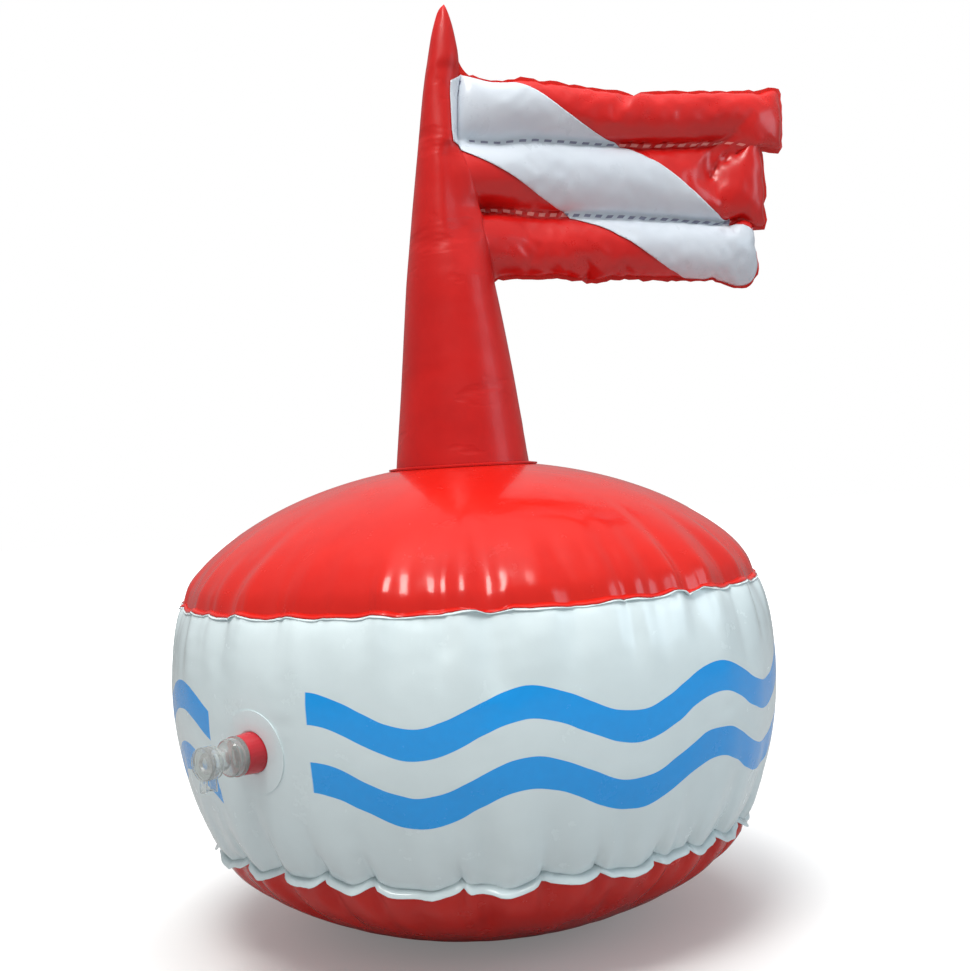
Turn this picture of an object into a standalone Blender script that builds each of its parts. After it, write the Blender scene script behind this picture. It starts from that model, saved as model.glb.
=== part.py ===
"""Inflatable surface-marker buoy: a welded PVC float with a tapered mast, a quilted flag, an oral valve and a
mooring ring. Units are metres, +Z is up, and the origin is the centre of the patch that it stands on.
The flag flies along +X."""

import math

import bmesh
import bpy
from mathutils import Matrix, Vector

# ---------------------------------------------------------------- driving dimensions
SHEET = 0.0010  # thickness of the PVC sheet, welds and lacquer included
GAP = 0.0003  # clearance between pieces that touch

BASE_DEPTH = 0.0640  # height of the lower seam above the floor
BASE_SETTLE = 0.0025  # how far the round base is flattened where it stands
LOWER_SEAM_R = 0.1600
UPPER_SEAM_Z = 0.2030
UPPER_SEAM_R = 0.1726
BAND_BULGE = 0.0150  # how far the middle of the band stands out past a straight side
DOME_RISE = 0.0755  # height of the dome over the upper seam
DOME_POWER = 0.64  # 0.5 is an ellipse, 1 a parabola
FLOAT_STEPS = 56

SEAM_THICK = 0.0012
UPPER_SEAM_WIDE = 0.0035
LOWER_SEAM_WIDE = 0.0050

MAST_FOOT_R = 0.0416
MAST_HEIGHT = 0.2850
MAST_LEAN = 0.0060  # how far the tip leans towards the flag
MAST_STEPS = 32
COLLAR_WIDE = 0.0040

FLAG_FOOT = 0.3850  # lower corner at the mast, as a share of the mast's height
FLAG_HEAD = 0.8700  # and upper corner
FLAG_DROOP = 0.0115  # how far the free end hangs below the end at the mast
FLAG_FLY_HEAD = 0.2400  # distance of the free end from the mast's axis, at the top
FLAG_FLY_FOOT = 0.2050  # and at the bottom
FLAG_CHAMBERS = 3
FLAG_BULGE = 0.0115  # half thickness of an inflated chamber
STRIPE_SHEET = 0.0005
STRIPE_HEAD = (0.02, 0.27)  # where the stripe meets the flag's top, as shares of its length
STRIPE_FOOT = (0.55, 0.97)  # and its foot

VALVE_AZIMUTH = -57.0  # degrees from -Y, seen from above, positive towards +X
VALVE_Z = 0.1330
VALVE_HOLE_R = 0.0115
VALVE_PATCH_R = 0.0220
VALVE_PATCH_THICK = 0.0008
SKIRT_CLEARANCE = 0.0006
SKIRT_LENGTH = 0.0110  # how far the valve's soft red foot stands out of the band
SKIRT_WALL = 0.0012
BELL_R = 0.0104  # the stem's wide end, against the foot
BELL_LENGTH = 0.0060
STEM_R = 0.0055
STEM_BORE_R = 0.0036
STEM_LENGTH = 0.0320
RIM_R = 0.0085
RIM_THICK = 0.0030
PLUG_THICK = 0.0016
PLUG_PIN_DEPTH = 0.0040
PLUG_PIN_CLEARANCE = 0.0008
STRAP_REACH = 0.0145  # from the valve's axis to the bend of the strap
STRAP_WIDE = 0.0050
STRAP_THICK = 0.0012

RING_X = 0.0790  # the ring's bar, from the float's axis
RING_WIDE = 0.0240
RING_LONG = 0.0165
RING_BAR = 0.0030
RING_THICK = 0.0022
RING_OVER_FLOOR = 0.0005  # the ring's free end, which rests just clear of the floor
TAB_WIDE = 0.0140
TAB_SHEET = 0.0007
MOORING_PATCH_R = 0.0190
MOORING_PATCH_THICK = 0.0006

# ---------------------------------------------------------------- worked out from them
UPPER_SEAM_TOP = UPPER_SEAM_Z + SEAM_THICK / 2
UPPER_SEAM_FOOT = UPPER_SEAM_Z - SEAM_THICK / 2
LOWER_SEAM_TOP = BASE_DEPTH + SEAM_THICK / 2
LOWER_SEAM_FOOT = BASE_DEPTH - SEAM_THICK / 2
DOME_TOP = UPPER_SEAM_Z + DOME_RISE


# ---------------------------------------------------------------- shapes of the float and mast
def dome_z(radius):
    share = min(1.0, radius / UPPER_SEAM_R)
    return UPPER_SEAM_Z + DOME_RISE * (1 - share**2) ** DOME_POWER


def base_z(radius):
    """The round base, flattened where it stands on the floor."""
    share = min(1.0, radius / LOWER_SEAM_R)
    round_z = (BASE_DEPTH + BASE_SETTLE) * (1 - (1 - share**2) ** DOME_POWER) - BASE_SETTLE
    return max(0.0, round_z)


def base_foot_radius():
    """Radius of the flat patch, where the round base comes down to the floor."""
    share = 1 - (1 - BASE_SETTLE / (BASE_DEPTH + BASE_SETTLE)) ** (1 / DOME_POWER)
    return LOWER_SEAM_R * math.sqrt(share)


def band_radius(z):
    share = (z - BASE_DEPTH) / (UPPER_SEAM_Z - BASE_DEPTH)
    straight = LOWER_SEAM_R + (UPPER_SEAM_R - LOWER_SEAM_R) * share
    return straight + BAND_BULGE * max(0.0, 4 * share * (1 - share)) ** 0.8


def mast_radius(z):
    """A straight taper that rounds off to the tip."""
    share = min(1.0, max(0.0, (z - DOME_TOP) / MAST_HEIGHT))
    return MAST_FOOT_R * (1 - 0.80 * share) * (1 - share**9) ** 0.5


def mast_lean(z):
    share = max(0.0, (z - DOME_TOP) / MAST_HEIGHT)
    return MAST_LEAN * share**2


# ---------------------------------------------------------------- scene helpers
def new_collection(name, is_shown):
    collection = bpy.data.collections.new(name)
    collection.hide_render = not is_shown
    bpy.context.scene.collection.children.link(collection)
    return collection


def make_material(name, colour, roughness, alpha=1.0, metallic=0.0):
    material = bpy.data.materials.new(name)
    material.use_nodes = True
    shader = material.node_tree.nodes["Principled BSDF"]
    shader.inputs["Base Color"].default_value = (*colour, 1.0)
    shader.inputs["Roughness"].default_value = roughness
    shader.inputs["Metallic"].default_value = metallic
    shader.inputs["Alpha"].default_value = alpha
    return material


def link_object(name, data, material=None, parent=None):
    obj = bpy.data.objects.new(name, data)
    (PARTS if material else CUTTERS).objects.link(obj)
    if material:
        data.materials.append(material)
    else:
        obj.hide_render = True
        obj.display_type = "WIRE"
    if parent:
        obj.parent = parent
    return obj


def make_empty(name, location, rotation, parent=None):
    empty = bpy.data.objects.new(name, None)
    empty.location = location
    empty.rotation_euler = rotation
    empty.empty_display_size = 0.01
    empty.parent = parent
    PARTS.objects.link(empty)
    return empty


def smooth(obj, angle=35.0):
    obj.data.shade_smooth()
    obj.data.set_sharp_from_angle(angle=math.radians(angle))


def turned(name, profile, material=None, steps=FLOAT_STEPS, is_loop=False, parent=None):
    """Turns a profile of (radius, z) points about Z. It runs down its outer side and back up its inner side."""
    mesh = bpy.data.meshes.new(name)
    count = len(profile)
    edges = [(i, i + 1) for i in range(count - 1)]
    if is_loop:
        edges.append((count - 1, 0))
    mesh.from_pydata([(radius, 0.0, z) for radius, z in profile], edges, [])
    obj = link_object(name, mesh, material, parent)
    screw = obj.modifiers.new("turn", "SCREW")
    screw.steps = screw.render_steps = steps
    screw.use_merge_vertices = True
    screw.merge_threshold = 0.00001
    return obj


def offset_profile(points, distance):
    """The same line moved to its inner side, which is on the right going down it. The ends keep their height."""
    moved = []
    for i, (radius, z) in enumerate(points):
        before = Vector(points[max(0, i - 1)])
        after = Vector(points[min(len(points) - 1, i + 1)])
        along = (after - before).normalized()
        moved.append((radius + along.y * distance, z - along.x * distance))
    return moved


def cylinder(name, radius, depth, parent=None, material=None, steps=48):
    """A cylinder centred on its parent's origin, along the parent's Z."""
    mesh = bpy.data.meshes.new(name)
    shape = bmesh.new()
    bmesh.ops.create_cone(
        shape, cap_ends=True, segments=steps, radius1=radius, radius2=radius, depth=depth
    )
    shape.to_mesh(mesh)
    shape.free()
    return link_object(name, mesh, material, parent)


def flat_shape(name, corners, thick, material=None, holes=()):
    """A flat plate of the given outline in its own XY plane, centred on it."""
    curve = bpy.data.curves.new(name, "CURVE")
    curve.dimensions = "2D"
    curve.fill_mode = "BOTH"
    curve.extrude = thick / 2
    for outline in (corners, *holes):
        spline = curve.splines.new("POLY")
        spline.points.add(len(outline) - 1)
        for point, (x, y) in zip(spline.points, outline):
            point.co = (x, y, 0.0, 1.0)
        spline.use_cyclic_u = True
    return link_object(name, curve, material)


def as_mesh(obj):
    """Turns a curve object into a welded mesh, so that a Boolean can use it."""
    bpy.context.view_layer.update()
    graph = bpy.context.evaluated_depsgraph_get()
    mesh = bpy.data.meshes.new_from_object(obj.evaluated_get(graph))
    shape = bmesh.new()
    shape.from_mesh(mesh)
    bmesh.ops.remove_doubles(shape, verts=shape.verts, dist=0.00001)
    bmesh.ops.recalc_face_normals(shape, faces=shape.faces)
    shape.to_mesh(mesh)
    shape.free()
    made = bpy.data.objects.new(obj.name + "_mesh", mesh)
    for collection in obj.users_collection:
        collection.objects.link(made)
    made.matrix_world = obj.matrix_world
    made.hide_render = obj.hide_render
    name = obj.name
    bpy.data.objects.remove(obj)
    made.name = name
    return made


def cut(obj, cutter, operation="DIFFERENCE"):
    boolean = obj.modifiers.new(cutter.name, "BOOLEAN")
    boolean.operation = operation
    boolean.object = cutter
    return obj


def spaced(low, high, count):
    return [low + (high - low) * i / (count - 1) for i in range(count)]


def closing(low, high, count):
    """Values from low to high that crowd together at the high end."""
    return [low + (high - low) * math.sin(share * math.pi / 2) for share in spaced(0.0, 1.0, count)]


# ---------------------------------------------------------------- float
def outer_dome(count=11):
    """Down the dome from its axis to just above the upper seam."""
    foot = UPPER_SEAM_TOP + GAP
    radii = [r for r in closing(0.0, UPPER_SEAM_R * 0.999, count) if dome_z(r) > foot + 0.002]
    return [(r, dome_z(r)) for r in radii] + [(UPPER_SEAM_R, foot)]


def outer_band(count=9, low=LOWER_SEAM_TOP + GAP, high=UPPER_SEAM_FOOT - GAP):
    return [(band_radius(z), z) for z in spaced(high, low, count)]


def outer_base(count=9):
    """Down the base from just below the lower seam to the middle of the patch that it stands on."""
    head = LOWER_SEAM_FOOT - GAP
    foot = base_foot_radius()
    radii = [r for r in closing(foot, LOWER_SEAM_R * 0.999, count) if base_z(r) < head - 0.002]
    return [(LOWER_SEAM_R, head)] + [(r, base_z(r)) for r in reversed(radii)] + [(0.0, 0.0)]


def make_top_panel():
    outer = outer_dome()
    inner = offset_profile(outer, SHEET)
    inner[0] = (0.0, outer[0][1] - SHEET)
    inner[-1] = (UPPER_SEAM_R - SHEET, outer[-1][1])
    panel = turned("top_panel", outer + inner[::-1], RED)
    smooth(panel)
    return panel


def make_bottom_panel():
    outer = outer_base()
    inner = offset_profile(outer, SHEET)
    inner[0] = (LOWER_SEAM_R - SHEET, outer[0][1])
    inner[-1] = (0.0, SHEET)
    panel = turned("bottom_panel", inner[::-1] + outer, RED)
    smooth(panel)
    return panel


def make_side_band(valve):
    outer = outer_band()
    inner = [(radius - SHEET, z) for radius, z in outer]
    band = turned("side_band", outer + inner[::-1], WHITE, is_loop=True)
    cut(band, cylinder("valve_hole_cutter", VALVE_HOLE_R, 0.04, valve))
    return band


def make_seam(name, radius, z, wide, material):
    low, high = z - SEAM_THICK / 2, z + SEAM_THICK / 2
    edge = SEAM_THICK / 4
    profile = [
        (radius - SHEET, high),
        (radius + wide - edge, high),
        (radius + wide, high - edge),
        (radius + wide, low + edge),
        (radius + wide - edge, low),
        (radius - SHEET, low),
    ]
    return turned(name, profile, material, is_loop=True)


def make_band_joint():
    """The lap joint where the band's two ends overlap, at the back."""
    outer = outer_band(low=LOWER_SEAM_TOP + 0.004, high=UPPER_SEAM_FOOT - 0.004)
    near = [(radius + GAP, z) for radius, z in outer]
    far = [(radius + GAP + SHEET / 2, z) for radius, z in outer]
    joint = turned("band_joint_strip", far + near[::-1], WHITE, is_loop=True)
    keep = cylinder("band_joint_cutter", 0.0070, 0.06)
    keep.location = (0.0, UPPER_SEAM_R, (UPPER_SEAM_Z + BASE_DEPTH) / 2)
    keep.rotation_euler = (math.radians(90), 0.0, 0.0)
    for vertex in keep.data.vertices:
        vertex.co.y = math.copysign(0.1, vertex.co.y)
        vertex.co.x = math.copysign(0.0070, vertex.co.x)
    return cut(joint, keep, "INTERSECT")


# ---------------------------------------------------------------- mast and collar
def mast_levels():
    shares = spaced(0.0, 0.9, 9) + [0.94, 0.97, 0.99]
    return [DOME_TOP + MAST_HEIGHT * share for share in shares]


def lean_mesh(obj):
    """Bends a turned object of the mast over towards the flag, by its height."""
    graph = bpy.context.evaluated_depsgraph_get()
    mesh = bpy.data.meshes.new_from_object(obj.evaluated_get(graph))
    for vertex in mesh.vertices:
        vertex.co.x += mast_lean(vertex.co.z)
    obj.modifiers.clear()
    obj.data = mesh
    return obj


def make_mast():
    levels = mast_levels()
    foot = dome_z(MAST_FOOT_R) + GAP
    outer = [(0.0, DOME_TOP + MAST_HEIGHT)]
    outer += [(mast_radius(z), z) for z in reversed(levels)]
    outer[-1] = (MAST_FOOT_R, foot)
    inner = [(0.0, DOME_TOP + MAST_HEIGHT - 3 * SHEET)]
    inner += [(mast_radius(z) - SHEET, z) for z in reversed(levels[:-1])]
    inner[-1] = (MAST_FOOT_R - SHEET, dome_z(MAST_FOOT_R - SHEET) + GAP)
    mast = turned("mast", outer + inner[::-1], RED, MAST_STEPS)
    lean_mesh(mast)
    smooth(mast)
    return mast


def make_mast_collar():
    """The welded turn-out at the foot of the mast, lying on the dome."""
    near = MAST_FOOT_R + GAP
    radii = spaced(near, near + COLLAR_WIDE, 4)
    top = [(r, dome_z(r) + GAP + SHEET) for r in radii]
    foot = [(r, dome_z(r) + GAP) for r in radii]
    return turned("mast_collar", top + foot[::-1], RED, is_loop=True)


# ---------------------------------------------------------------- flag
def flag_ends(height_share):
    """(x at the mast, x at the free end, z at the mast) at a share of the flag's height."""
    z = DOME_TOP + MAST_HEIGHT * (FLAG_FOOT + (FLAG_HEAD - FLAG_FOOT) * height_share)
    hoist = mast_radius(z) + mast_lean(z) + GAP
    fly = FLAG_FLY_FOOT + (FLAG_FLY_HEAD - FLAG_FLY_FOOT) * height_share
    return hoist, fly, z


def flag_point(along, height_share):
    hoist, fly, z = flag_ends(height_share)
    x = hoist + (fly - hoist) * along
    return x, z - FLAG_DROOP * (x - hoist) / FLAG_FLY_HEAD


def flag_bulge(along, height_share):
    """Half thickness of the inflated flag: rounded chambers between welded lines, closed at both ends."""
    chamber = height_share * FLAG_CHAMBERS % 1.0
    if height_share >= 1.0:
        chamber = 1.0
    across = max(0.0, 4 * chamber * (1 - chamber)) ** 0.5
    hoist, fly, _ = flag_ends(height_share)
    from_end = min(along, 1 - along) * (fly - hoist)
    end = min(1.0, from_end / 0.018)
    return FLAG_BULGE * across * (1 - (1 - end) ** 2) ** 0.5


def flag_sheet(name, side, material, lift, thick, rows, columns):
    """One sheet of the flag on the side given by the sign of Y. lift is how far its inner face stands off the
    flag's inflated shape."""
    mesh = bpy.data.meshes.new(name)
    shape = bmesh.new()
    layers = []
    for depth in (lift, lift + thick):
        grid = []
        for height_share in rows:
            line = []
            for along in columns:
                x, z = flag_point(along, height_share)
                y = side * (depth + flag_bulge(along, height_share))
                line.append(shape.verts.new((x, y, z)))
            grid.append(line)
        layers.append(grid)
    near, far = layers
    width, height = len(columns), len(rows)
    for i in range(height - 1):
        for j in range(width - 1):
            shape.faces.new((near[i][j], near[i + 1][j], near[i + 1][j + 1], near[i][j + 1]))
            shape.faces.new((far[i][j], far[i][j + 1], far[i + 1][j + 1], far[i + 1][j]))
    rim = [(0, j) for j in range(width)] + [(i, width - 1) for i in range(1, height)]
    rim += [(height - 1, j) for j in range(width - 2, -1, -1)] + [(i, 0) for i in range(height - 2, 0, -1)]
    for (i, j), (k, m) in zip(rim, rim[1:] + rim[:1]):
        shape.faces.new((near[i][j], near[k][m], far[k][m], far[i][j]))
    bmesh.ops.recalc_face_normals(shape, faces=shape.faces)
    shape.to_mesh(mesh)
    shape.free()
    obj = link_object(name, mesh, material)
    smooth(obj, 50.0)
    return obj


def chamber_rows(count_in_each=6):
    """Shares of the flag's height, close together at each weld."""
    rows = []
    for chamber in range(FLAG_CHAMBERS):
        for step in range(count_in_each):
            turn = (1 - math.cos(math.pi * step / count_in_each)) / 2
            rows.append((chamber + turn) / FLAG_CHAMBERS)
    return rows + [1.0]


def end_shares():
    """Shares along the flag, close together at its rounded ends."""
    return [0.0, 0.015, 0.045, 0.085, 0.25, 0.42, 0.58, 0.75, 0.915, 0.955, 0.985, 1.0]


def make_stripe_outline():
    """A slanted bar through the flag, which keeps the stripe's share of an overlay sheet. It runs from the top
    at the mast down to the free end."""
    corners = []
    for height_share, start, end in ((0.985, *STRIPE_HEAD), (0.015, *STRIPE_FOOT)):
        line = [flag_point(start, height_share), flag_point(end, height_share)]
        corners += line if height_share > 0.5 else line[::-1]
    bar = as_mesh(flat_shape("stripe_outline", corners, 0.10))
    bar.rotation_euler = (math.radians(90), 0.0, 0.0)
    return bar


def make_flag():
    rows, columns = chamber_rows(), end_shares()
    for name, side in (("flag_front_sheet", -1), ("flag_back_sheet", 1)):
        flag_sheet(name, side, RED, GAP / 2, SHEET, rows, columns)
    lift = GAP / 2 + SHEET + GAP
    outline = make_stripe_outline()
    for name, side in (("flag_stripe_front", -1), ("flag_stripe_back", 1)):
        cut(flag_sheet(name, side, WHITE, lift, STRIPE_SHEET, rows, columns), outline, "INTERSECT")


# ---------------------------------------------------------------- valve
def make_valve_frame():
    """An empty on the band's surface. Its Z points out along the valve, and its X points up."""
    azimuth = math.radians(VALVE_AZIMUTH)
    outward = Vector((math.sin(azimuth), -math.cos(azimuth), 0.0))
    place = outward * band_radius(VALVE_Z) + Vector((0.0, 0.0, VALVE_Z))
    up = Vector((0.0, 0.0, 1.0))
    turn = Matrix((up, outward.cross(up), outward)).transposed()
    empty = make_empty("valve_frame", place, turn.to_euler())
    bpy.context.view_layer.update()
    return empty


def make_valve_patch(valve):
    """A welded disc that follows the band round the valve."""
    low, high = VALVE_Z - 1.3 * VALVE_PATCH_R, VALVE_Z + 1.3 * VALVE_PATCH_R
    line = outer_band(13, low, high)
    near = [(radius + GAP, z) for radius, z in line]
    far = [(radius + GAP + VALVE_PATCH_THICK, z) for radius, z in line]
    patch = turned("valve_patch", far + near[::-1], WHITE, 2 * FLOAT_STEPS, is_loop=True)
    cut(patch, cylinder("valve_patch_outline", VALVE_PATCH_R, 0.06, valve), "INTERSECT")
    return cut(patch, cylinder("valve_patch_hole", VALVE_HOLE_R, 0.06, valve))


def make_valve_skirt(valve):
    """The valve's flexible foot, a cup open to the float, which turns in when the valve is pressed flush."""
    foot_r = VALVE_HOLE_R - SKIRT_CLEARANCE
    head_r = BELL_R - 0.0002
    stem_r = STEM_R + GAP
    profile = [
        (stem_r, SKIRT_LENGTH),
        (head_r - 0.0006, SKIRT_LENGTH),
        (head_r, SKIRT_LENGTH - 0.0006),
        (foot_r, 0.0010),
        (foot_r, -SHEET),
        (foot_r - SKIRT_WALL, -SHEET),
        (foot_r - SKIRT_WALL, 0.0010),
        (head_r - SKIRT_WALL, SKIRT_LENGTH - SKIRT_WALL),
        (stem_r, SKIRT_LENGTH - SKIRT_WALL),
    ]
    return turned("valve_skirt", profile, VALVE_RED, 32, is_loop=True, parent=valve)


def make_valve_stem(valve):
    """The clear stem: a wide bell against the foot, a neck, a tube and a rim. Its tube runs on into the float."""
    foot = SKIRT_LENGTH + GAP
    shoulder = foot + BELL_LENGTH
    neck = shoulder + 0.0030
    bell_bore_r = BELL_R - 0.0020
    profile = [
        (STEM_BORE_R, STEM_LENGTH),
        (RIM_R - 0.0004, STEM_LENGTH),
        (RIM_R, STEM_LENGTH - 0.0004),
        (RIM_R, STEM_LENGTH - RIM_THICK),
        (STEM_R, STEM_LENGTH - RIM_THICK - 0.0010),
        (STEM_R, neck),
        (STEM_R + 0.0022, shoulder + 0.0008),
        (BELL_R - 0.0012, shoulder),
        (BELL_R - 0.0006, shoulder - 0.0008),
        (BELL_R - 0.0006, foot + 0.0018),
        (BELL_R, foot + 0.0014),
        (BELL_R, foot),
        (STEM_R, foot),
        (STEM_R, -0.0030),
        (STEM_BORE_R, -0.0030),
        (STEM_BORE_R, foot + 0.0014),
        (bell_bore_r, foot + 0.0014),
        (bell_bore_r, shoulder - 0.0016),
        (STEM_BORE_R, shoulder + 0.0008),
    ]
    return turned("valve_stem", profile, CLEAR, 32, is_loop=True, parent=valve)


def strap_arm(name, near, thick, valve, z):
    """A flat arm out to the strap's bend, in the valve frame's -X direction."""
    half = STRAP_WIDE / 2
    corners = [(-near, -half), (-near, half), (-STRAP_REACH, half), (-STRAP_REACH, -half)]
    arm = flat_shape(name, corners, thick)
    arm.parent = valve
    arm.location = (0.0, 0.0, z)
    return as_mesh(arm)


def make_valve_plug(valve, hinge):
    """The plug in the valve's mouth, with the half of its strap that swings with it."""
    cap_z = STEM_LENGTH + GAP
    pin_r = STEM_BORE_R - GAP
    tip_r = STEM_BORE_R - PLUG_PIN_CLEARANCE
    profile = [
        (0.0, cap_z + PLUG_THICK),
        (RIM_R - 0.0004, cap_z + PLUG_THICK),
        (RIM_R, cap_z + PLUG_THICK - 0.0004),
        (RIM_R, cap_z),
        (pin_r, cap_z),
        (tip_r, cap_z - PLUG_PIN_DEPTH),
        (0.0, cap_z - PLUG_PIN_DEPTH),
    ]
    plug = turned("valve_plug", profile, CLEAR, 32, parent=valve)
    arm = strap_arm("plug_arm_shape", RIM_R - 0.0015, STRAP_THICK, valve, cap_z + STRAP_THICK / 2 + 0.0001)
    cut(plug, arm, "UNION")
    keep_world(plug, hinge)
    return plug


def keep_world(obj, parent):
    """Hangs obj on another parent without moving it."""
    bpy.context.view_layer.update()
    world = obj.matrix_world.copy()
    obj.parent = parent
    obj.matrix_parent_inverse = parent.matrix_world.inverted()
    obj.matrix_world = world


def make_valve_strap(valve):
    """The half of the strap that stays on the stem: a ring under the rim, with an arm out to the bend."""
    low = STEM_LENGTH - RIM_THICK - 0.0010 - GAP - STRAP_THICK
    ring = [
        (STEM_R + GAP, low + STRAP_THICK),
        (RIM_R, low + STRAP_THICK),
        (RIM_R, low),
        (STEM_R + GAP, low),
    ]
    strap = turned("valve_strap", ring, CLEAR, 32, is_loop=True, parent=valve)
    arm = strap_arm("strap_arm_shape", RIM_R - 0.0010, STRAP_THICK * 0.9, valve, low + STRAP_THICK / 2)
    cut(strap, arm, "UNION")
    rise = STEM_LENGTH + GAP - low - GAP
    web = cylinder("strap_web_shape", 0.5, 1.0, valve, steps=4)
    for vertex in web.data.vertices:
        vertex.co.x = -STRAP_REACH + (0.0 if vertex.co.x < 0 else STRAP_THICK)
        vertex.co.y = math.copysign(STRAP_WIDE / 2, vertex.co.y)
        vertex.co.z = low + 0.0001 if vertex.co.z < 0 else low + rise
    cut(strap, web, "UNION")
    return strap


# ---------------------------------------------------------------- mooring ring
def make_mooring_patch():
    line = [(r, base_z(r)) for r in spaced(RING_X + 1.2 * MOORING_PATCH_R, RING_X - 1.2 * MOORING_PATCH_R, 9)]
    near = [(r, z - GAP) for r, z in line]
    far = [(r, z - GAP - MOORING_PATCH_THICK) for r, z in line]
    patch = turned("mooring_patch", near + far[::-1], RED, 2 * FLOAT_STEPS, is_loop=True)
    outline = cylinder("mooring_patch_outline", MOORING_PATCH_R, 0.06)
    outline.location = (RING_X, 0.0, 0.0)
    return cut(patch, outline, "INTERSECT")


def tab_radii():
    """Inner and outer radius of the folded tab that holds the ring's bar."""
    inner = math.hypot(RING_THICK, RING_BAR) / 2 + GAP
    return inner, inner + TAB_SHEET


def make_ring_frame():
    """An empty on the ring's bar, which hangs its tab just under the patch. Its Y is the bar, and its X points
    along the ring to the free end."""
    reach = tab_radii()[1] + GAP
    under_patch = []
    for share in spaced(-0.98, 0.98, 41):
        patch_z = base_z(RING_X + share * reach) - GAP - MOORING_PATCH_THICK
        under_patch.append(patch_z - reach * math.sqrt(1 - share**2))
    z = min(under_patch)
    lean = math.asin((z - RING_THICK / 2 - RING_OVER_FLOOR) / (RING_LONG - RING_BAR / 2))
    return make_empty("ring_frame", (RING_X, 0.0, z), (0.0, lean, 0.0)), z


def make_mooring_ring(frame):
    """A flat moulded D, its straight bar on the frame's Y."""
    outlines = []
    for inset in (0.0, RING_BAR):
        half = RING_WIDE / 2 - inset
        start = -RING_BAR / 2 + inset
        shoulder = RING_LONG - RING_BAR / 2 - inset - half
        bow = [
            (shoulder + half * math.cos(a), half * math.sin(a))
            for a in spaced(-math.pi / 2, math.pi / 2, 15)
        ]
        outlines.append(bow + [(start, half), (start, -half)])
    ring = flat_shape("mooring_ring", outlines[0], RING_THICK, BLACK, [outlines[1]])
    ring.parent = frame
    return ring


def make_mooring_tab(z):
    """A folded loop of sheet round the ring's bar, welded to the patch."""
    inner, outer = tab_radii()
    mesh = bpy.data.meshes.new("mooring_tab")
    tab = link_object("mooring_tab", mesh, RED)
    shape = bmesh.new()
    bmesh.ops.create_cone(shape, cap_ends=True, segments=24, radius1=outer, radius2=outer, depth=TAB_WIDE)
    bmesh.ops.rotate(shape, verts=shape.verts, cent=(0, 0, 0), matrix=Matrix.Rotation(math.radians(90), 3, "X"))
    shape.to_mesh(mesh)
    shape.free()
    tab.location = (RING_X, 0.0, z)
    hole = cylinder("mooring_tab_hole", inner, TAB_WIDE * 2, steps=24)
    hole.location = tab.location
    hole.rotation_euler = (math.radians(90), 0.0, 0.0)
    return cut(tab, hole)


# ---------------------------------------------------------------- build
for old in list(bpy.data.objects):
    bpy.data.objects.remove(old)
PARTS = new_collection("marker_buoy", True)
CUTTERS = new_collection("cutters", False)

RED = make_material("red_pvc", (0.72, 0.03, 0.02), 0.25)
WHITE = make_material("white_pvc", (0.80, 0.84, 0.85), 0.25)
CLEAR = make_material("clear_pvc", (0.85, 0.87, 0.85), 0.12, alpha=0.5)
VALVE_RED = make_material("valve_red", (0.55, 0.08, 0.08), 0.25)
BLACK = make_material("black_plastic", (0.03, 0.04, 0.035), 0.45)

valve_frame = make_valve_frame()
plug_hinge = make_empty("plug_hinge", (-STRAP_REACH, 0.0, STEM_LENGTH + GAP), (0.0, 0.0, 0.0), valve_frame)
make_top_panel()
make_side_band(valve_frame)
make_bottom_panel()
make_seam("upper_seam", UPPER_SEAM_R, UPPER_SEAM_Z, UPPER_SEAM_WIDE, RED)
make_seam("lower_seam", LOWER_SEAM_R, BASE_DEPTH, LOWER_SEAM_WIDE, WHITE)
make_band_joint()
make_mast()
make_mast_collar()
make_flag()
make_valve_patch(valve_frame)
make_valve_skirt(valve_frame)
make_valve_stem(valve_frame)
make_valve_plug(valve_frame, plug_hinge)
make_valve_strap(valve_frame)
make_mooring_patch()
ring_frame, ring_z = make_ring_frame()
make_mooring_ring(ring_frame)
make_mooring_tab(ring_z)
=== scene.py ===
import math

import bpy
import numpy as np
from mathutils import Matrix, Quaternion, Vector


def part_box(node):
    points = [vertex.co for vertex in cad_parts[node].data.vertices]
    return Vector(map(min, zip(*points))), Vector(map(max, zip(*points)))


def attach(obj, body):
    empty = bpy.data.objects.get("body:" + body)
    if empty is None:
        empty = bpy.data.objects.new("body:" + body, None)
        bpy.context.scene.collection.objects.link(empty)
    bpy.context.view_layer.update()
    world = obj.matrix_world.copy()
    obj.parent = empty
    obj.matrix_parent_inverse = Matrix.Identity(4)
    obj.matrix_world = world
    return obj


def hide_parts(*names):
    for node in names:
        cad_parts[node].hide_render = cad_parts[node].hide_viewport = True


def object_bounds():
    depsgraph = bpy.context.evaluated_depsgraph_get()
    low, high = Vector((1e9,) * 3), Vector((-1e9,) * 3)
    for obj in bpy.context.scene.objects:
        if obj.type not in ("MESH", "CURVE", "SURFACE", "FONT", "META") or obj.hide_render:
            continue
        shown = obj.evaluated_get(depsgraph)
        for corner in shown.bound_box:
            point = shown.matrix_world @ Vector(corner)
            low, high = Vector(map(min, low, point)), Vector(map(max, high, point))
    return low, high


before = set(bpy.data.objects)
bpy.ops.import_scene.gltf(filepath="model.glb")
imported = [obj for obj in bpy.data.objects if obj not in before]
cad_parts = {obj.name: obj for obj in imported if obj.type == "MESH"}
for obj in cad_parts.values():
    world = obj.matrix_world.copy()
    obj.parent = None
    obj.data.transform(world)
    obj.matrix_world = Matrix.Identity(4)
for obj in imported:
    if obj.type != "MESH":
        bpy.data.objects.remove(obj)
cad_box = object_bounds()


# ---- sizes, read from the CAD where it has them
def middle_z(node):
    low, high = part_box(node)
    return (low[2] + high[2]) / 2


def highest(node, axis):
    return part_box(node)[1][axis]


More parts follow.
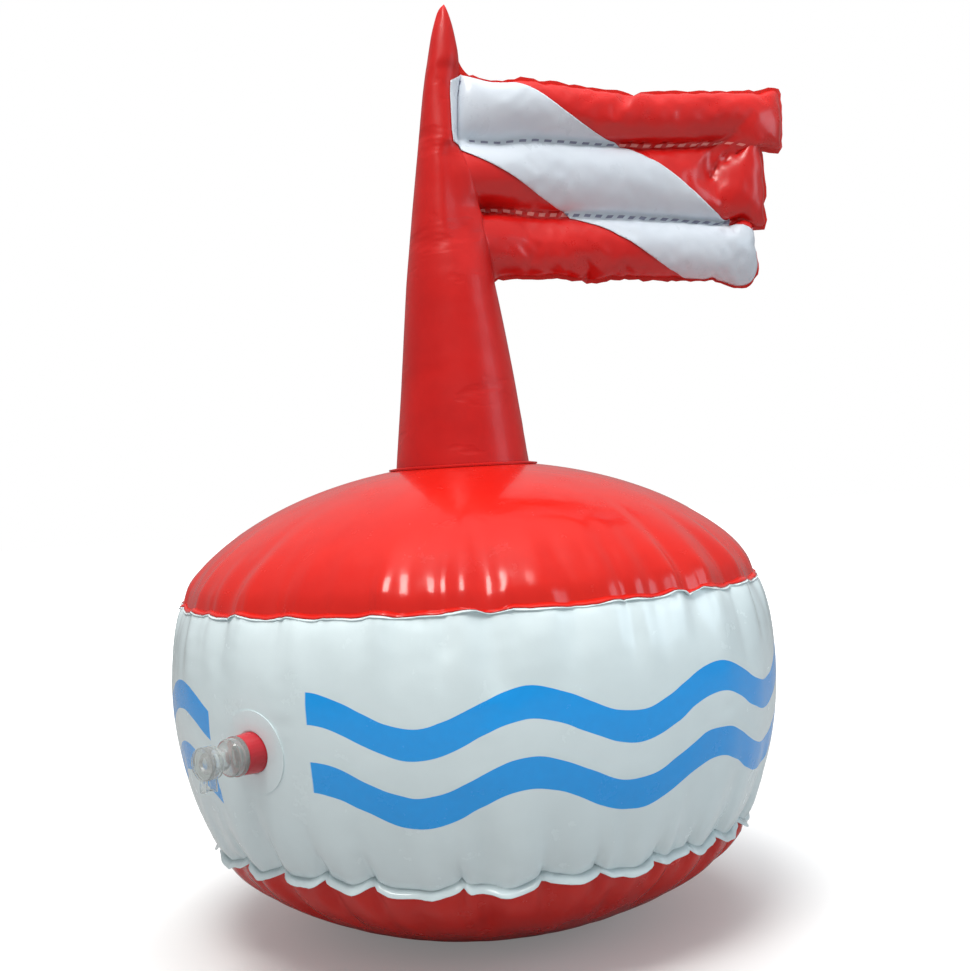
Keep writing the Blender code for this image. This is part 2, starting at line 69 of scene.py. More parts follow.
UPPER_Z = middle_z("upper_seam")
LOWER_Z = middle_z("lower_seam")
UPPER_R = highest("top_panel", 0)
LOWER_R = highest("bottom_panel", 0)
BAND_R = 0.1820  # the band's widest radius
DOME_RISE = highest("top_panel", 2) - UPPER_Z
DOME_POWER = 0.64  # 0.5 would be an ellipsoid, and more is flatter
BASE_SETTLE = 0.0025  # how far the base would reach below the floor that it rests on
DOME_TOP = UPPER_Z + DOME_RISE
MAST_TIP = highest("mast", 2) - DOME_TOP
FLAG_LOW, FLAG_HIGH = 0.111, 0.243  # the flag's edges at the mast. These heights are over the dome's top
FLY_Z = (0.100, 0.250)  # the free end, from its lower to its upper corner
FLY_WELDS = (0.0, 0.30, 0.705, 1.0)  # its corners and its welds, as shares of its height
SIM_SCALE = 10.0  # the cloth solver works on the shapes at this many times their size

VALVE_AZIMUTH = math.radians(-57.0)


def dome_z(radius):
    share = np.minimum(1.0, radius / UPPER_R)
    return UPPER_Z + DOME_RISE * (1 - share**2) ** DOME_POWER


def base_z(radius):
    share = np.minimum(1.0, radius / LOWER_R)
    round_z = (LOWER_Z + BASE_SETTLE) * (1 - (1 - share**2) ** DOME_POWER) - BASE_SETTLE
    return np.maximum(0.0, round_z)


def band_radius(z):
    share = (z - LOWER_Z) / (UPPER_Z - LOWER_Z)
    straight = LOWER_R + (UPPER_R - LOWER_R) * share
    bulge = BAND_R - (LOWER_R + UPPER_R) / 2
    return straight + bulge * np.maximum(0.0, 4 * share * (1 - share)) ** 0.8


def new_object(name, data):
    obj = bpy.data.objects.new(name, data)
    bpy.context.scene.collection.objects.link(obj)
    return obj


# ---- camera
YAW, ROLL = math.radians(0.87), math.radians(3.3)


def make_camera():
    """Level with the top of the float, a little to the left of the flag's plane, and rolled."""
    azimuth, distance, height = math.radians(-17.0), 0.843, 0.2635
    camera = new_object("camera", bpy.data.cameras.new("camera"))
    camera.data.lens = 50.46
    camera.data.sensor_width = 36.0
    camera.location = (math.sin(azimuth) * distance, -math.cos(azimuth) * distance, height)
    level = Quaternion((0.0, 0.0, 1.0), azimuth - YAW) @ Quaternion((1.0, 0.0, 0.0), math.radians(90.0))
    camera.rotation_mode = "QUATERNION"
    camera.rotation_quaternion = level @ Quaternion((0.0, 0.0, 1.0), -ROLL)
    bpy.context.scene.camera = camera


make_camera()


# ---- node helpers
def set_inputs(node, **values):
    """Sets a node's inputs. An underscore stands for a space in an input's name."""
    for name, value in values.items():
        node.inputs[name.replace("_", " ")].default_value = value


class Nodes:
    """A small helper that builds the nodes of a material or a world."""

    def __init__(self, tree, place):
        self.tree = tree
        self.where = self.add("ShaderNodeTexCoord").outputs[place]

    def add(self, kind, **values):
        node = self.tree.nodes.new(kind)
        for key, value in values.items():
            setattr(node, key, value)
        return node

    def link(self, source, target):
        self.tree.links.new(source, target)

    def put(self, socket, value):
        if hasattr(value, "is_output"):
            self.link(value, socket)
        else:
            socket.default_value = value

    def noise(self, scale, detail=2.0, rough=0.5, where=None):
        node = self.add("ShaderNodeTexNoise")
        set_inputs(node, Scale=scale, Detail=detail, Roughness=rough)
        self.link(where or self.where, node.inputs["Vector"])
        return node.outputs["Fac"]

    def math(self, operation, a, b=0.0):
        node = self.add("ShaderNodeMath", operation=operation)
        self.put(node.inputs[0], a)
        self.put(node.inputs[1], b)
        return node.outputs[0]

    def product(self, *values):
        result = values[0]
        for value in values[1:]:
            result = self.math("MULTIPLY", result, value)
        return result

    def away(self, value, centre):
        return self.math("ABSOLUTE", self.math("SUBTRACT", value, centre))

    def dashes(self, value, count, share=0.55):
        """1 on each of count dashes in a run of value from 0 to 1."""
        return self.math("LESS_THAN", self.math("FRACT", self.math("MULTIPLY", value, count)), share)

    def ramp(self, value, low, high, to_low, to_high):
        node = self.add("ShaderNodeMapRange")
        for socket, item in zip(node.inputs, (value, low, high, to_low, to_high)):
            self.put(socket, item)
        return node.outputs[0]

    def mix(self, share, a, b):
        """A mix of two colours, which are the node's sockets 6 and 7."""
        node = self.add("ShaderNodeMix", data_type="RGBA")
        self.put(node.inputs[0], share)
        self.put(node.inputs[6], a if hasattr(a, "is_output") else (*a, 1.0))
        self.put(node.inputs[7], b if hasattr(b, "is_output") else (*b, 1.0))
        return node.outputs[2]

    def bump(self, height, distance, strength=1.0, under=None):
        node = self.add("ShaderNodeBump")
        set_inputs(node, Strength=strength, Distance=distance)
        self.put(node.inputs["Height"], height)
        if under:
            self.link(under, node.inputs["Normal"])
        return node.outputs["Normal"]

    def parts(self, vector):
        split = self.add("ShaderNodeSeparateXYZ")
        self.link(vector, split.inputs[0])
        return split.outputs

    def uv(self):
        return self.parts(self.add("ShaderNodeUVMap", uv_map="flat").outputs["UV"])[:2]

    def for_camera(self, seen, lit):
        """One shader where the camera looks straight at it, and another where light bounces."""
        node = self.add("ShaderNodeMixShader")
        sources = (self.add("ShaderNodeLightPath").outputs["Is Camera Ray"], lit, seen)
        for socket, source in zip(node.inputs, sources):
            self.link(source.outputs[0] if hasattr(source, "outputs") else source, socket)
        return node.outputs[0]


class Shader(Nodes):
    def __init__(self, name):
        self.material = bpy.data.materials.new(name)
        self.material.use_nodes = True
        super().__init__(self.material.node_tree, "Object")
        self.main = self.tree.nodes["Principled BSDF"]

    def give(self, **sources):
        """Links sources to the main shader's inputs."""
        for name, source in sources.items():
            self.link(source, self.main.inputs[name.replace("_", " ")])


def pvc(name, colour, darker, roughness=(0.16, 0.32), coat=0.30, ripple=0.0005):
    """Glossy welded sheet: faint mottling, soft ripples, scuffed patches and a fine calendered grain."""
    shader = Shader(name)
    mottle = shader.noise(22.0, 4.0, 0.6)
    shade = shader.mix(shader.ramp(mottle, 0.3, 0.7, 0.0, 1.0), colour, darker)
    scuff = shader.noise(55.0, 5.0, 0.65)
    soft = shader.bump(shader.noise(34.0, 2.0), ripple)
    fine = shader.bump(shader.noise(900.0, 2.0), 0.00002, 1.0, soft)
    shader.give(Base_Color=shade, Roughness=shader.ramp(scuff, 0.35, 0.75, *roughness), Normal=fine)
    set_inputs(shader.main, Coat_Weight=coat, Coat_Roughness=0.06, IOR=1.5)
    shader.shade, shader.fine = shade, fine
    return shader


RED_LIGHT, RED_DARK = (0.66, 0.012, 0.005), (0.58, 0.008, 0.004)
WHITE_LIGHT, WHITE_DARK = (0.74, 0.85, 0.88), (0.69, 0.80, 0.83)
BLUE = (0.002, 0.36, 0.92)
# the printed waves: how many go round, then sizes as shares of the band's height
WAVES, WAVE_HEIGHT, WAVE_CENTRES, WAVE_HALF = 10, 0.062, (0.36, 0.60), 0.0550
VALVE_GAP = 0.0330  # half of the gap in them at the valve, as a share of the way round


def make_red():
    shader = pvc("red_pvc_sheet", RED_LIGHT, RED_DARK, coat=0.22)
    set_inputs(shader.main, Specular_IOR_Level=0.35)
    return shader.material


def make_mast_red():
    """The mast's duller sheet, with a few soft dents across it."""
    shader = pvc("dull_red_pvc", (0.60, 0.008, 0.006), (0.50, 0.006, 0.005), (0.34, 0.50), 0.06, 0.0006)
    drawn_out = shader.add("ShaderNodeCombineXYZ")
    for axis, part, share in zip(drawn_out.inputs, shader.parts(shader.where), (0.45, 0.45, 1.0)):
        shader.link(shader.product(part, share), axis)
    dents = shader.ramp(shader.noise(38.0, 3.0, 0.55, drawn_out.outputs[0]), 0.56, 0.74, 1.0, 0.0)
    shader.give(Normal=shader.bump(dents, 0.0009, 0.7, shader.fine))
    set_inputs(shader.main, Specular_IOR_Level=0.35)
    return shader.material


def make_white():
    return pvc("white_pvc_sheet", WHITE_LIGHT, WHITE_DARK).material


def make_printed_band():
    """White sheet with two printed waves. The flat map runs once round the band in X and up it in Y."""
    shader = pvc("printed_white_pvc", WHITE_LIGHT, WHITE_DARK)
    along, up = shader.uv()
    turn = shader.math("MULTIPLY", along, 2 * math.pi * WAVES)
    from_wave = shader.math("SUBTRACT", up, shader.math("MULTIPLY", shader.math("SINE", turn), WAVE_HEIGHT))
    lower, upper = (shader.away(from_wave, centre) for centre in WAVE_CENTRES)
    inside = shader.ramp(shader.math("MINIMUM", lower, upper), WAVE_HALF, WAVE_HALF + 0.0015, 1.0, 0.0)
    valve_at = (VALVE_AZIMUTH - math.pi / 2) / (2 * math.pi) % 1.0
    outside = shader.ramp(shader.away(along, valve_at), VALVE_GAP, VALVE_GAP + 0.0005, 0.0, 1.0)
    inside = shader.product(inside, outside)
    ink = shader.mix(shader.noise(260.0, 3.0), BLUE, (0.003, 0.32, 0.85))
    shader.give(Base_Color=shader.mix(inside, shader.shade, ink))
    return shader.material


def make_clear(name, tint, roughness, transmission):
    shader = Shader(name)
    shade = shader.mix(shader.noise(120.0), tint, tuple(c * 0.94 for c in tint))
    scuffs = shader.ramp(shader.noise(300.0, 3.0), 0.3, 0.7, roughness * 0.7, roughness * 1.6)
    shader.give(Base_Color=shade, Roughness=scuffs, Normal=shader.bump(shader.noise(150.0), 0.0002))
    set_inputs(shader.main, Transmission_Weight=transmission, IOR=1.45)
    return shader.material


def make_dark():
    shader = Shader("dark_plastic")
    shade = shader.mix(shader.noise(200.0, 4.0), (0.030, 0.036, 0.032), (0.055, 0.060, 0.052))
    scuffs = shader.ramp(shader.noise(350.0, 3.0), 0.3, 0.7, 0.35, 0.6)
    shader.give(Base_Color=shade, Roughness=scuffs, Normal=shader.bump(shader.noise(800.0), 0.00005))
    return shader.material


RED = make_red()
MAST_RED = make_mast_red()
WHITE = make_white()
PRINTED = make_printed_band()
CLEAR = make_clear("clear_pvc_moulding", (0.95, 0.97, 0.96), 0.07, 0.86)
VALVE_RED = make_clear("red_tinted_pvc", (0.66, 0.030, 0.045), 0.18, 0.22)
DARK = make_dark()


# ---- mesh helpers
def add_object(name, mesh, material, slot, body="float"):
    obj = new_object(name, mesh)
    mesh.materials.clear()
    mesh.materials.append(material)
    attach(obj, body)
    return obj


def mesh_from(name, verts, faces):
    mesh = bpy.data.meshes.new(name)
    mesh.from_pydata([tuple(v) for v in verts], [], faces)
    mesh.update()
    mesh.shade_smooth()
    return mesh


def grid_faces(rows, columns, row_loop=False, column_loop=False):
    """The faces between the neighbours of a grid of points that is numbered row by row."""
    faces = []
    for i in range(rows if row_loop else rows - 1):
        for j in range(columns if column_loop else columns - 1):
            a, b, n = i * columns, (i + 1) % rows * columns, (j + 1) % columns
            faces.append((a + j, b + j, b + n, a + n))
    return faces


def flipped(faces):
    return [(face[0], *face[:0:-1]) for face in faces]


def evaluated(obj):
    """The object's mesh as its modifiers leave it. The object itself goes."""
    graph = bpy.context.evaluated_depsgraph_get()
    made = bpy.data.meshes.new_from_object(obj.evaluated_get(graph))
    bpy.data.objects.remove(obj)
    return made


def subdivided(mesh):
    obj = new_object("smoothing", mesh)
    modifier = obj.modifiers.new("smooth", "SUBSURF")
    modifier.levels = modifier.render_levels = 1
    return evaluated(obj)


def turn_angles(count):
    return 2 * math.pi * np.arange(count) / count


def unit(vectors):
    return vectors / np.maximum(np.linalg.norm(vectors, axis=1)[:, None], 1e-12)


def points_of(mesh):
    values = np.empty(len(mesh.vertices) * 3)
    mesh.vertices.foreach_get("co", values)
    return values.reshape(-1, 3)


def inflate(verts, faces, pins, frames, pressure, tension, shear, bending):
    """Cloth under pressure. Returns its points."""
    mesh = mesh_from("inflating", np.asarray(verts) * SIM_SCALE, faces)
    obj = new_object("inflating", mesh)
    cloth = obj.modifiers.new("cloth", "CLOTH")
    settings = cloth.settings
    if pins:
        obj.vertex_groups.new(name="pins").add(pins, 1.0, "REPLACE")
        settings.vertex_group_mass = "pins"
    settings.quality = 6
    settings.mass = 0.3
    settings.air_damping = 2.0
    settings.tension_stiffness = settings.compression_stiffness = tension
    settings.shear_stiffness = shear
    settings.bending_stiffness = bending
    settings.tension_damping = settings.compression_damping = settings.shear_damping = 5.0
    settings.bending_damping = 0.5
    settings.use_pressure = True
    settings.uniform_pressure_force = pressure
    settings.effector_weights.gravity = 0.0
    cloth.collision_settings.use_collision = False
    cloth.collision_settings.use_self_collision = False
    cloth.point_cache.frame_start, cloth.point_cache.frame_end = 1, frames
    for number in range(1, frames + 1):
        bpy.context.scene.frame_set(number)
    result = evaluated(obj)
    points = points_of(result) / SIM_SCALE
    bpy.data.meshes.remove(result)
    bpy.context.scene.frame_set(1)
    return points


# ---- the float
AROUND = 232
DISC_RINGS = 22
BAND_RINGS = 28
TOP_SEAM, LOW_SEAM = DISC_RINGS - 1, DISC_RINGS - 1 + BAND_RINGS  # their rows among all the rings
FLAT_R, FLAT_BAND = 0.188, 0.150  # the flat discs' radius and the flat band's width


def body_rings():
    """Radius and height of each ring of the flat pattern: the top disc, the band and the bottom disc."""
    shares = [1 - (1 - 0.16) * (1 - i / (DISC_RINGS - 1)) ** 1.25 for i in range(DISC_RINGS)]
    half = FLAT_BAND / 2
    top = [(FLAT_R * share, half) for share in shares]
    band = [(FLAT_R, half - FLAT_BAND * j / BAND_RINGS) for j in range(1, BAND_RINGS + 1)]
    bottom = [(FLAT_R * share, -half) for share in reversed(shares[:-1])]
    return top + band + bottom


def ring_grid(rings):
    angles = turn_angles(AROUND)
    verts = [(radius * math.cos(a), radius * math.sin(a), z) for radius, z in rings for a in angles]
    return verts, grid_faces(len(rings), AROUND, column_loop=True)


def sim_body():
    """The float's two discs and band, blown up from their flat shapes. The spare length round each seam
    gathers there in puckers."""
    rings = body_rings()
    verts, faces = ring_grid(rings)
    count = len(verts)
    last = count - AROUND
    verts += [(0.0, 0.0, FLAT_BAND / 2), (0.0, 0.0, -FLAT_BAND / 2)]
    for k in range(AROUND):
        n = (k + 1) % AROUND
        faces.append((count, k, n))
        faces.append((count + 1, last + n, last + k))
    rng = np.random.default_rng(7)
    verts = np.array(verts)
    points = verts + rng.normal(0.0, 0.0004, verts.shape)
    # slow variation round the seams, so that the puckers come at uneven distances
    angle = np.arctan2(verts[:, 1], verts[:, 0])
    near_seam = np.exp(-((np.abs(verts[:, 2]) - FLAT_BAND / 2) / 0.02) ** 2)
    near_seam *= np.clip((np.hypot(verts[:, 0], verts[:, 1]) / FLAT_R - 0.7) / 0.3, 0, 1)
    side = np.where(verts[:, 2] > 0, 1.0, 0.7)
    for number in range(24, 60):
        phase = rng.uniform(0, 2 * math.pi)
        points[:, 2] += near_seam * 0.00022 * np.cos(number * angle + phase * side)
    points = inflate(points, faces, [], frames=34, pressure=12.0, tension=40.0, shear=10.0, bending=0.9)
    return points[:count].reshape(len(rings), AROUND, 3)


TOP_GAIN, LOW_GAIN = 0.80, 0.85  # how strongly the folds show at the upper and at the lower seam
# where the welder's bar gathered each seam into a notch, in degrees round from +X
LOWER_NOTCHES = (
    9, 24, 36, 49, 66, 78, 94, 107, 124, 138, 150, 167, 181, 198.5, 211, 221.75, 231.75, 248.25, 263.25,
    273.25, 286.5, 295.5, 306, 318, 333, 347,
)
UPPER_NOTCHES = (
    2, 9, 21, 30, 44, 51, 60, 73, 80, 92, 104, 110, 121, 135, 142, 155, 163, 171, 180, 189, 197.75, 208,
    218.25, 220.5, 227.5, 235.5, 244.75, 248.25, 260, 270.5, 280.25, 289.75, 298.5, 308, 316, 327, 334, 346,
)
SEAM_ROWS = 6.0  # rows over which a seam's gathering fades
# for each seam: its notches, how far the edge drops between two, and how far each notch draws the sheet in
GATHERS = ((LOWER_NOTCHES, 0.0062, 0.0026), (UPPER_NOTCHES, 0.0011, 0.0010))


def scallops(angles, notches):
    """The lobes of a gathered edge: 0 at each notch and up to 1 between two, more between distant ones.
    Also each angle's distance from its nearest notch."""
    marks = np.radians(notches)
    marks = np.concatenate([marks[-1:] - 2 * math.pi, marks, marks[:1] + 2 * math.pi])
    after = np.searchsorted(marks, angles % (2 * math.pi), side="right")
    low, high = marks[after - 1], marks[after]
    share = (angles % (2 * math.pi) - low) / (high - low)
    hang = (1 - (2 * share - 1) ** 2) ** 0.7 * np.clip((high - low) / 0.24, 0.45, 1.15)
    gap = np.minimum(share, 1 - share) * (high - low)
    return hang, gap


def limited(values, most):
    """Values that bend off softly so that none passes most."""
    return most * np.tanh(values / most)


def around_mean(values, axis=1):
    """A little smoothing along each ring."""
    return (np.roll(values, 1, axis) + 2 * values + np.roll(values, -1, axis)) / 4


def between(values, is_loop):
    """The values with one more between each two, on a smooth curve through them, along the first axis."""
    if is_loop:
        before, after, far = np.roll(values, 1, 0), np.roll(values, -1, 0), np.roll(values, -2, 0)
        middle = (9 * (values + after) - before - far) / 16
        return np.stack([values, middle], axis=1).reshape(-1, *values.shape[1:])
    padded = np.concatenate([2 * values[:1] - values[1:2], values, 2 * values[-1:] - values[-2:-1]])
    middle = (9 * (padded[1:-2] + padded[2:-1]) - padded[:-3] - padded[3:]) / 16
    result = np.empty((2 * len(values) - 1, *values.shape[1:]))
    result[0::2], result[1::2] = values, middle
    return result


def profile(mean_r, mean_z):
    """The CAD's radius and height for each ring of the simulated float."""
    share = (mean_z - mean_z[LOW_SEAM]) / (mean_z[TOP_SEAM] - mean_z[LOW_SEAM])
    band_z = LOWER_Z + (UPPER_Z - LOWER_Z) * share
    dome_r = UPPER_R * mean_r / mean_r[TOP_SEAM]
    base_r = LOWER_R * mean_r / mean_r[LOW_SEAM]
    row = np.arange(len(mean_r))
    panels = [row <= TOP_SEAM, row < LOW_SEAM]
    new_r = np.select(panels, [dome_r, band_radius(band_z)], base_r)
    return new_r, np.select(panels, [dome_z(dome_r), band_z], base_z(base_r))


def fold_strength(row, new_r, new_z):
    """How much of the simulated folds each ring keeps: none on the dome's crown or where the float rests."""
    in_band = np.clip((row - TOP_SEAM) / BAND_RINGS, 0.0, 1.0)
    fade = TOP_GAIN + (LOW_GAIN - TOP_GAIN) * in_band
    dome, base = row < TOP_SEAM, row > LOW_SEAM
    fade[dome] *= np.clip((new_r[dome] / UPPER_R - 0.60) / 0.38, 0.0, 1.0) ** 1.4
    fade[base] *= np.clip((new_z[base] - 0.004) / 0.030, 0.0, 1.0)
    return fade


def fitted_body(sim):
    """Puts the simulated folds on the CAD's own profile: each ring takes the CAD's radius and height, and
    each point keeps its distance from its ring's mean. Then each seam is gathered at its notches."""
    angle0 = turn_angles(AROUND)
    radius = np.hypot(sim[:, :, 0], sim[:, :, 1])
    angle = np.arctan2(sim[:, :, 1], sim[:, :, 0])
    mean_r, mean_z = radius.mean(axis=1), sim[:, :, 2].mean(axis=1)
    off_r = radius - mean_r[:, None]
    off_z = sim[:, :, 2] - mean_z[:, None]
    off_a = (angle - angle0[None, :] + math.pi) % (2 * math.pi) - math.pi
    off_a -= off_a.mean(axis=1)[:, None]
    new_r, new_z = profile(mean_r, mean_z)
    row = np.arange(len(mean_r))
    fade = fold_strength(row, new_r, new_z)
    off_r, off_z, off_a = (
        between((around_mean(values) * fade[:, None]).T, True).T for values in (off_r, off_z, off_a)
    )
    angle0 = turn_angles(2 * AROUND)
    from_top, from_low = np.abs(row - TOP_SEAM) / SEAM_ROWS, np.abs(row - LOW_SEAM) / SEAM_ROWS
    # near a seam the simulated ripples are calmed, since its notches take their place
    calm = np.maximum(np.exp(-from_top * 3), np.exp(-from_low * 3))[:, None]
    smoothed = around_mean(around_mean(around_mean(off_z)))
    off_z = limited(off_z + (smoothed - off_z) * calm, 0.0060 - 0.0048 * calm)
    off_r = limited(off_r, 0.0070 - 0.0050 * calm)
    off_a = limited(off_a, 0.012)
    for (notches, drop, pinch), distance in zip(GATHERS, (from_low, from_top)):
        hang, gap = scallops(angle0, notches)
        near = np.exp(-((distance * 2.2) ** 2))[:, None]
        off_z -= drop * near * (hang - hang.mean())[None, :]
        wide = 0.012 + 0.020 * distance[:, None]
        pucker = np.exp(-((gap[None, :] / wide) ** 2)) * np.exp(-distance * 1.1)[:, None]
        off_r -= pinch * (pucker - pucker.mean(axis=1)[:, None])
    r, a = new_r[:, None] + off_r, angle0[None, :] + off_a
    return np.stack([r * np.cos(a), r * np.sin(a), new_z[:, None] + off_z], axis=2)


def add_uv(mesh, values):
    """Writes a flat map named flat from one pair for each corner."""
    layer = mesh.uv_layers.new(name="flat")
    layer.data.foreach_set("uv", np.asarray(values, dtype=np.float64).ravel())


def add_point_uv(mesh, values):
    """Writes the flat map from one pair for each point."""
    loops = np.empty(len(mesh.loops), dtype=np.int32)
    mesh.loops.foreach_get("vertex_index", loops)
    add_uv(mesh, np.asarray(values)[loops])


def body_piece(name, rings, material, slot, pole=None):
    """One panel of the float from its rings of points, with its flat map: once round in X, up the piece in Y.
    pole is the row that a middle point closes, and that point."""
    rings = between(rings, False)
    rows, around = rings.shape[:2]
    heights = np.linspace(1.0, 0.0, rows)
    verts = [*rings.reshape(-1, 3)]
    faces, maps = grid_faces(rows, around, column_loop=True), []
    for high, low in zip(heights, heights[1:]):
        for k in range(around):
            u0, u1 = k / around, (k + 1) / around
            maps += [(u0, high), (u0, low), (u1, low), (u1, high)]
    if pole is not None:
        row, point = pole
        row %= rows
        verts.append(point)
        for k in range(around):
            n = (k + 1) % around
            pair = (row * around + k, row * around + n)
            faces.append((len(verts) - 1, *(pair if row == 0 else pair[::-1])))
            maps += [(0.5, heights[row])] * 3
    mesh = mesh_from(name, verts, faces)
    add_uv(mesh, maps)
    return add_object(name, mesh, material, slot)


def make_body():
    grid = fitted_body(sim_body())
    top = body_piece("top_panel_sheet", grid[: TOP_SEAM + 1], RED, "red_pvc", (0, (0.0, 0.0, DOME_TOP)))
    band = body_piece("side_band_sheet", grid[TOP_SEAM : LOW_SEAM + 1], PRINTED, "white_pvc")
    bottom = body_piece("bottom_panel_sheet", grid[LOW_SEAM:], RED, "red_pvc", (-1, (0.0, 0.0, 0.0)))
    for piece, node in ((top, "top_panel"), (band, "side_band"), (bottom, "bottom_panel")):
        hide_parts(node)
    red, white = (RED, "red_pvc"), (WHITE, "white_pvc")
    upper = make_flange("upper_seam_flange", grid, TOP_SEAM, 0.0026, (0.0, 0.0005), red, 3)
    # a thin white strip just under the red flange: partly the band's white edge in the seam, partly a painted
    # highlight line along it
    make_flange("upper_seam_lining_and_highlight", grid, TOP_SEAM, 0.0034, (-0.0007, -0.0001), white, 5)
    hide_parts("upper_seam")
    lower = make_flange("lower_seam_flange", grid, LOW_SEAM, 0.0050, (-0.0004, 0.0004), white, 4, -0.8)
    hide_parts("lower_seam")
    make_band_joint(grid)


def make_band_joint(grid):
    """The strip over the band's lap joint at the back, laid on the band's folds."""
    middle = AROUND // 2
    columns = between(grid[TOP_SEAM + 1 : LOW_SEAM, middle - 3 : middle + 4], False)
    across = columns[:, -1] - columns[:, 0]
    along = np.gradient(columns[:, 3], axis=0)
    out = unit(np.cross(across, along))
    out *= np.sign((out * columns[:, 3] * [1, 1, 0]).sum(axis=1))[:, None]
    rows, wide = columns.shape[:2]
    middle_lift, edge_lift, foot_lift = (out[:, None, :] * lift for lift in (0.0011, 0.0007, 0.0002))
    far = columns + middle_lift
    far[:, [0, -1]] = columns[:, [0, -1]] + edge_lift
    near = columns + foot_lift
    verts = np.concatenate([far.reshape(-1, 3), near.reshape(-1, 3)])
    total = rows * wide
    sheet = grid_faces(rows, wide)
    faces = flipped(sheet) + [tuple(corner + total for corner in face) for face in sheet]
    order = np.arange(total).reshape(rows, wide)
    rim = [*order[0], *order[1:, -1], *order[-1, -2::-1], *order[-2:0:-1, 0]]
    rim = [int(corner) for corner in rim]
    for a, b in zip(rim, rim[1:] + rim[:1]):
        faces.append((b, a, total + a, total + b))
    strip = add_object("band_joint_lap", mesh_from("band_joint_lap", verts, faces), WHITE, "white_pvc")
    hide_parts("band_joint_strip")


def make_flange(name, grid, row, wide, span, finish, seed, tilt=0.0):
    """The welded edge that stands out along a seam and follows its puckers. span is its foot and its head,
    measured up from the seam, and tilt turns it up or down."""
    above, seam, below = grid[row - 1], grid[row], grid[row + 1]
    out = unit(unit(seam - above) + unit(seam - below)) * 0.6 + unit(seam * [1, 1, 0]) * 0.8
    out += [0.0, 0.0, tilt]
    for _ in range(4):
        out = around_mean(out, 0)
    out = unit(out)
    rng = np.random.default_rng(seed)
    count = len(seam)
    rough = rng.normal(0.0, 0.00018, count)
    rough = (rough + np.roll(rough, 1) + np.roll(rough, -1)) / 1.7
    reach = (wide + rough)[:, None]
    low, high = (np.array([[0.0, 0.0, height]]) for height in span)
    inner, outer = seam - out * 0.0006, seam + out * (reach - 0.0002)
    sections = [inner + high, outer + high, seam + out * reach, outer + low, inner + low]
    verts = np.stack(sections, axis=1).reshape(-1, 3)
    faces = flipped(grid_faces(count, len(sections), True, True))
    return add_object(name, mesh_from(name, verts, faces), *finish)


# ---- the mast and flag
FLAG_DROOP, FLAG_REACH = 0.006, 0.246  # how far the flag's middle line falls, and over what length
FLAG_STRETCH, FLAG_FLATTEN = 0.17, 0.22  # shares by which it is made taller and flatter after the simulation
CHAMBERS = 3
CHAMBER_ROWS = 12
MAST_COLUMNS = 22
FLAG_COLUMNS = 56
PINCH_COLUMN = 19  # where the flag's lower edge was pinched when it was welded
LOWER_ARCH, ARCH_END = 0.0045, 0.34  # how far that edge rises near the mast, and where along it this ends
WELD_ROWS = 2  # rows that each weld between two chambers holds flat
WELDS = {1: (0.03, 0.90), 2: (0.03, 0.80)}
FOLD = {(20, 45), (21, 46), (22, 48), (23, 50)}  # a crease from the upper weld's end to the free end
FLY_EDGE = ((0.0, 0.33, 0.36, 0.64, 0.69, 1.0), (0.2170, 0.2190, 0.2300, 0.2300, 0.2435, 0.2435))
FLY_CORNERS = (0.017, 0.006)  # radius of the free end's lower and upper corner
TIP = ("tip",)
FLAG_PART = {-1: 1, 1: 2}  # the number of the flag's sheet on each side. The mast's is 0
WEB_REACH = 0.0095  # how far the web in the corner over the flag runs along the mast and along the flag
NECK_FROM, NECK_TO = 7, 10  # columns of the mast and of the flag between which the neck is smoothed
NECK_ROUNDS = 40
MAST_EDGES = np.array([  # height over the dome, plain edge, edge at the flag
    (-0.030, -0.0440, 0.0440), (0.0, -0.0412, 0.0415), (0.045, -0.0358, 0.0358), (0.112, -0.0286, 0.0266),
    (0.160, -0.0220, 0.0175), (0.203, -0.0157, 0.0092), (0.228, -0.0118, 0.0084), (0.243, -0.0090, 0.0100),
    (0.2475, -0.0080, 0.0122), (0.256, -0.0064, 0.0116), (0.266, -0.0044, 0.0102), (0.276, -0.0012, 0.0086),
    (0.281, 0.0008, 0.0076),
    (MAST_TIP, 0.0026, 0.0070),
])


def mast_edges(z):
    return (float(np.interp(z, MAST_EDGES[:, 0], MAST_EDGES[:, column])) for column in (1, 2))


